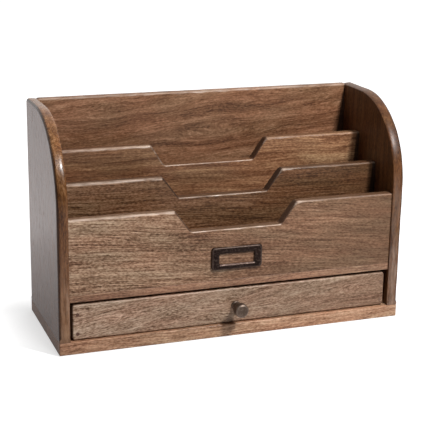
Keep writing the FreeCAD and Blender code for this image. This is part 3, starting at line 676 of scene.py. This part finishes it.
FRONT_EASE = 0.0015
FRONT_BACK_EASE = 0.0005
FRONT_BEND = 0.0026
FRONT_TOP_WEAR = 0.4
END_TRIM = 0.0012
low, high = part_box("drawer_front")
right_end = high[0] - END_TRIM
panel = [(low[0], low[2]), (right_end, low[2]), (right_end, high[2]), (low[0], high[2])]
outline = rounded_outline(panel, [FRONT_BEND] * 4)
points, normals = outline
drawer_front = eased_board(
    "drawer_front_board", outline, hand_eased(points, FRONT_EASE, 41),
    np.full(len(points), FRONT_BACK_EASE), (0.0, low[1], 0.0), (1.0, 0.0, 0.0), (0.0, 0.0, 1.0),
    high[1] - low[1], FRONT_TOP_WEAR * np.clip(normals[:, 1], 0.0, 1.0) ** 4,
)
drawer_wood = stained_wood(
    "drawer_wood", (stain(105, 76, 57), stain(159, 127, 104), stain(196, 166, 143)),
    turn=(0.0, math.radians(6.0), math.radians(2.0)), start=(0.5, 0.52, 0.09),
    sway=0.009, bands=0.15, streaks=0.20, flecks=0.75, figure=0.15, fall=-1.1, calm=2.0,
)
finish_piece(drawer_front, drawer_wood, "drawer_front", "drawer")
drawer_face = low[1]


# Drawer box
# Two sides, a back and a thin bottom in paler wood, planed but not stained, with only a thin coat of
# sealer. The bottom lies in grooves, and the back is nailed between the sides.

box_tints = (stain(140, 106, 76), stain(186, 150, 114), stain(214, 182, 146))
lengthwise = ((0.0, 0.0, math.radians(90.0)), (0.0, 1.0, 0.0))
crosswise = ((0.0, 0.0, 0.0), (1.0, 0.0, 0.0))
box_boards = (
    ("drawer_left_side", lengthwise), ("drawer_right_side", lengthwise),
    ("drawer_back", crosswise), ("drawer_bottom", crosswise),
)
for number, (node, (turn, end)) in enumerate(box_boards):
    box_wood = stained_wood(
        node + "_wood", box_tints, turn=turn, start=(0.3 * number, 0.13 * number, 0.21), end=end,
        sway=0.004, flecks=0.3, gloss=0.55,
    )
    dress(node, box_wood)


# Brads of the drawer
# Thin headed nails through the drawer front into the sides, punched just under the surface and
# stopped with filler, dark on the left and nearer the wood's colour on the right, and the same nails
# through the sides into the drawer back.

def filler_spots(name, centres, face, radius, matched):
    """Small discs of filler that stand barely proud of the board.

    At distance r from a spot's middle the filler stands out by crown * (1 - (r / radius) ** 2); the
    outline wavers a little with the angle. Rub is how far the right-hand spots match the wood.
    """
    crown, root, around = 0.00006, 0.0004, 24
    reach = np.array([1.0, 1.0, 0.85, 0.55, 0.2])
    rise = crown * (1 - reach ** 2)
    rise[0] = -root
    angle = np.linspace(0.0, 2 * math.pi, around, endpoint=False)
    waver = 1 + 0.06 * np.sin(3 * angle + 0.7) + 0.04 * np.sin(5 * angle)
    spread = radius * reach[:, None] * waver
    depth = face - rise[:, None] * np.ones(around)
    pieces = []
    for x, z in centres:
        rings = np.stack([x + spread * np.cos(angle), depth, z + spread * np.sin(angle)], axis=-1)
        pieces.append(grid_mesh(name, rings[::-1], None, matched * (x > 0)))
    with bpy.context.temp_override(active_object=pieces[0], selected_editable_objects=pieces):
        bpy.ops.object.join()
    return pieces[0]


def wood_filler(name):
    """Brown filler: dry, slightly grainy, with specks of wood dust, paler where it matches the wood."""
    filler = Finish(bpy.data.materials.new(name))
    place = filler.add("TexCoord", {}).outputs["Object"]
    specks = filler.noise(place, (1800.0, 1800.0, 1800.0), 2.0)
    colour = filler.blend(specks, stain(76, 46, 36), stain(112, 78, 62))
    matched = filler.add("Attribute", {}, attribute_name="rub").outputs["Fac"]
    colour = filler.blend(matched, colour, stain(142, 112, 91))
    roughness = filler.plus(0.5, specks, 0.2)
    bump = filler.add("Bump", {"Height": specks, "Strength": 0.3, "Distance": 0.0002}).outputs[0]
    return filler.coat({"Base Color": colour, "Roughness": roughness, "Normal": bump})


brad_places = [(x, z) for x in (-0.1595, 0.1595) for z in (0.0192, 0.0386)]
spots = filler_spots("brad_filler", brad_places, drawer_face, radius=0.0018, matched=0.7)
finish_piece(spots, wood_filler("brad_filler_paste"), "drawer_front_brads", "drawer")
dress("drawer_back_brads", fixing_steel)


# Knob
# A small turned knob in a paler, more rubbed bronze than the card frame, with a flared foot, a slim
# neck and a flat head with a rounded rim. A screw and washer hold it from inside the drawer.

# The profile in millimetres, radius against distance from the drawer
knob_profile = [
    (0.3, 0.0), (4.6, 0.0), (4.6, 1.4), (3.5, 2.6), (3.2, 8.0), (4.4, 11.2), (6.8, 12.4),
    (6.8, 18.6), (5.4, 19.9), (0.3, 20.0),
]
knob_bends = [0.01, 0.25, 0.6, 1.2, 3.0, 1.2, 0.8, 0.9, 1.0, 0.01]


def turned_knob(name, centre, back):
    """The profile turned about the knob's axis.

    The profile is a run of straight and round stretches from the foot to the head, and the point at
    angle t lies radius * (cos t, sin t) off the axis. Rub is strongest on the rim of the head.
    """
    per_run, around = 4, 72
    line, _ = rounded_outline(knob_profile, knob_bends, per_run=per_run, per_arc=9)
    line = line[:-per_run] / 1000.0
    radius, out = line[:, :1], line[:, 1:]
    angle = np.linspace(0.0, 2 * math.pi, around, endpoint=False)
    depth = back - out * np.ones(around)
    rings = np.stack(
        [centre[0] + radius * np.cos(angle), depth, centre[1] + radius * np.sin(angle)], axis=-1
    )
    rim = np.exp(-((radius - 0.0058) / 0.0007) ** 2) * (out > 0.018)
    return grid_mesh(name, rings[::-1], None, rim[::-1])


low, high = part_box("drawer_knob")
knob_bronze = dark_bronze("knob_bronze", stain(106, 90, 79), stain(140, 124, 112), 0.42)
knob = turned_knob("turned_knob", ((low[0] + high[0]) / 2, (low[2] + high[2]) / 2), high[1])
finish_piece(knob, knob_bronze, "drawer_knob", "drawer")
dress("knob_washer", fixing_steel)
dress("knob_screw", fixing_steel)


# Floor, light and camera
# A pale seamless floor in a dim room that is brighter behind the holder, as the lacquer reflects it.
# A small key lamp stands high on the right of the front, with a soft lamp over the camera, and a broad
# lamp behind lights the back.

def ray_kind(finish, *kinds):
    """1 for rays of any of these kinds, and 0 for the rest."""
    path = finish.add("LightPath", {}).outputs
    total = path[kinds[0]]
    for kind in kinds[1:]:
        total = finish.calc("MAXIMUM", total, path[kind])
    return total


# The camera sees the room as white, the lacquer sees it darker in front, and it gives little other light
WHITE = (1.0, 1.0, 1.0, 1.0)
ROOM_LIGHT = 0.06
ROOM_FRONT = 0.15
ROOM_BEHIND = 1.0
scene = bpy.context.scene
room = Finish(bpy.data.worlds.new("white_room"))
scene.world = room.owner
way = room.add("TexCoord", {}).outputs["Generated"]
toward_back = room.add("SeparateXYZ", {0: way}).outputs["Y"]
mirrored = room.spread(toward_back, -0.5, 0.2, ROOM_FRONT, ROOM_BEHIND)
glossy = ray_kind(room, "Is Glossy Ray", "Is Transmission Ray")
lit = room.spread(glossy, 0.0, 1.0, ROOM_LIGHT, mirrored)
shown = room.spread(ray_kind(room, "Is Camera Ray"), 0.0, 1.0, lit, 1.0)
room.give(room.tree.nodes["Background"], {"Color": WHITE, "Strength": shown})

# The camera sees the floor as white paper with a painted shadow, its glow lower close to the holder. The
# lacquer sees a painted reflection of it that glows darker, with a painted shadow most of all under and
# before the holder, and a little warm.
FLOOR_HALF = 6.0
FLOOR_DROP = -0.0002
FLOOR_GREY = (0.60, 0.60, 0.60, 1.0)
FLOOR_NEAR = 0.64
FLOOR_FADE = 0.045
MIRROR_NEAR = 0.38
MIRROR_FAR = 0.87
MIRROR_FADE = 0.30
MIRROR_FRONT = 0.35
FRONT_FADE = 0.20
MIRROR_TINT = (1.0, 0.91, 0.90, 1.0)
floor_mesh = bpy.data.meshes.new("studio_floor")
floor_corners = np.array([(-1, -1), (1, -1), (1, 1), (-1, 1)]) * FLOOR_HALF
floor_mesh.from_pydata(np.column_stack([floor_corners, np.full(4, FLOOR_DROP)]), [], [(0, 1, 2, 3)])
studio_floor = bpy.data.objects.new("studio_floor", floor_mesh)
scene.collection.objects.link(studio_floor)
paper = Finish(bpy.data.materials.new("white_paper"))
floor_place = paper.add("TexCoord", {}).outputs["Object"]
from_middle = paper.vector("ABSOLUTE", floor_place, (0.0, 0.0, 0.0))
beyond = paper.vector("SUBTRACT", from_middle, (*cad_box[1][:2], 1.0))
beyond = paper.vector("MAXIMUM", beyond, (0.0, 0.0, 0.0))
gap = paper.add("VectorMath", {0: beyond}, operation="LENGTH").outputs["Value"]
shadowed_camera_glow = paper.spread(gap, 0.0, FLOOR_FADE, FLOOR_NEAR, 1.0)
mirrored = paper.spread(gap, 0.0, MIRROR_FADE, MIRROR_NEAR, MIRROR_FAR)
toward_back = paper.add("SeparateXYZ", {0: floor_place}).outputs["Y"]
mirrored = paper.times(mirrored, paper.spread(toward_back, -FRONT_FADE, 0.0, MIRROR_FRONT, 1.0))
seen = ray_kind(paper, "Is Camera Ray")
glossy = ray_kind(paper, "Is Glossy Ray", "Is Transmission Ray")
glow = paper.plus(paper.times(seen, shadowed_camera_glow), glossy, mirrored)
paper_white = paper.coat({
    "Base Color": FLOOR_GREY, "Roughness": 0.9,
    "Emission Color": paper.blend(seen, MIRROR_TINT, WHITE), "Emission Strength": glow,
})
floor_mesh.materials.append(paper_white)


def facing_along(place, away, roll=0.0):
    """Placing of a lamp or camera whose back points along a direction, turned about it by the roll."""
    away = np.array(away) / np.linalg.norm(away)
    level_way = np.cross((0.0, 0.0, 1.0), away)
    level_way /= np.linalg.norm(level_way)
    right_way = math.cos(roll) * level_way + math.sin(roll) * np.cross(away, level_way)
    placing = np.identity(4)
    placing[:3, :3] = np.column_stack([right_way, np.cross(away, right_way), away])
    placing[:3, 3] = place
    return Matrix(placing.tolist())


def soft_lamp(name, place, aim, width, height, power, in_gloss=True):
    """A soft lamp with an oblong face at a place, facing a point, and seen in the lacquer or not."""
    lamp = bpy.data.lights.new(name, "AREA")
    lamp.shape = "RECTANGLE"
    lamp.size = width
    lamp.size_y = height
    lamp.energy = power
    holder = bpy.data.objects.new(name, lamp)
    holder.matrix_world = facing_along(place, np.subtract(place, aim))
    holder.visible_glossy = in_gloss
    scene.collection.objects.link(holder)


soft_lamp("key_lamp", (0.29, -0.55, 0.735), (0.0, 0.0, 0.08), 0.06, 0.14, 6.5)
soft_lamp("front_lamp", (0.14, -1.07, 1.37), (0.0, 0.0, 0.10), 0.35, 0.35, 4.0)
soft_lamp("back_lamp", (0.50, 1.00, 0.85), (0.0, 0.0, 0.10), 0.90, 0.90, 3.4, in_gloss=False)

AZIMUTH = math.radians(-20.061)
ELEVATION = math.radians(16.113)
ROLL = math.radians(0.907)
EYE = (-0.4068, -1.1056, 0.4489)
LENS = 102.24
SENSOR = 36.0
level_part = math.cos(ELEVATION)
away_way = (math.sin(AZIMUTH) * level_part, -math.cos(AZIMUTH) * level_part, math.sin(ELEVATION))
lens = bpy.data.cameras.new("photo_camera")
lens.sensor_width = SENSOR
lens.lens = LENS
camera = bpy.data.objects.new("photo_camera", lens)
camera.matrix_world = facing_along(EYE, away_way, ROLL)
scene.collection.objects.link(camera)
scene.camera = camera
scene.view_settings.view_transform = "Standard"
